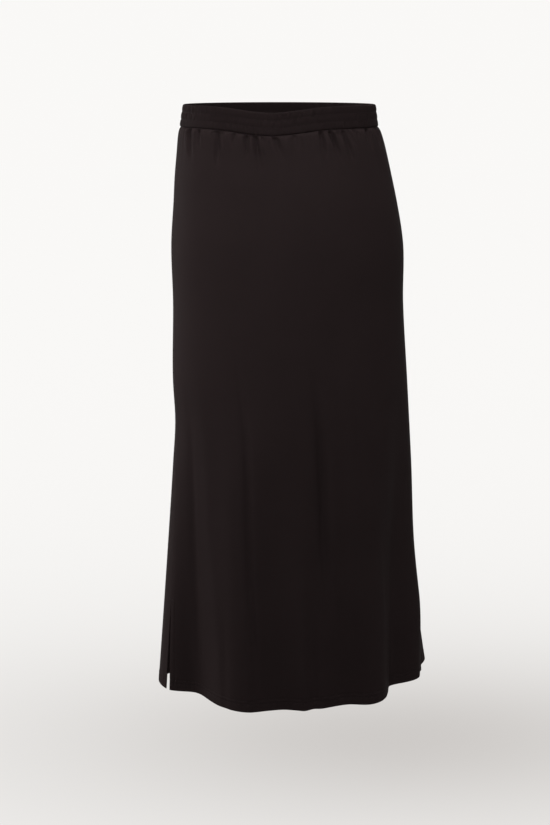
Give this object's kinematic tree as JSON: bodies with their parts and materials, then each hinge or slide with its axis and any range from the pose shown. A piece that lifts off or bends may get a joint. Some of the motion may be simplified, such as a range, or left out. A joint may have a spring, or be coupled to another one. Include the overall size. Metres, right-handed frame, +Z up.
{
  "type": "maxi skirt",
  "caption": "Long A-line jersey skirt with a gathered elastic waistband and side slits at the hem, in its worn form with no wearer.",
  "frame": {"origin": "middle of the waist, at half the waistband's height", "axes": "+Z up, from the hem to the waistband; the skirt's front faces -Y and its back +Y; +X is the wearer's left"},
  "size_m": [0.4514, 0.361, 0.9487],
  "materials": {
    "jersey": "near-black viscose jersey, fine knit with a soft sheen",
    "elastic_casing": "the same jersey, ruched over flat elastic and topstitched",
    "thread": "polyester sewing thread, near black"
  },
  "bodies": {
    "root": {"back_panel": "jersey", "front_panel": "jersey", "waistband": "elastic_casing"}
  },
  "joints": []
}
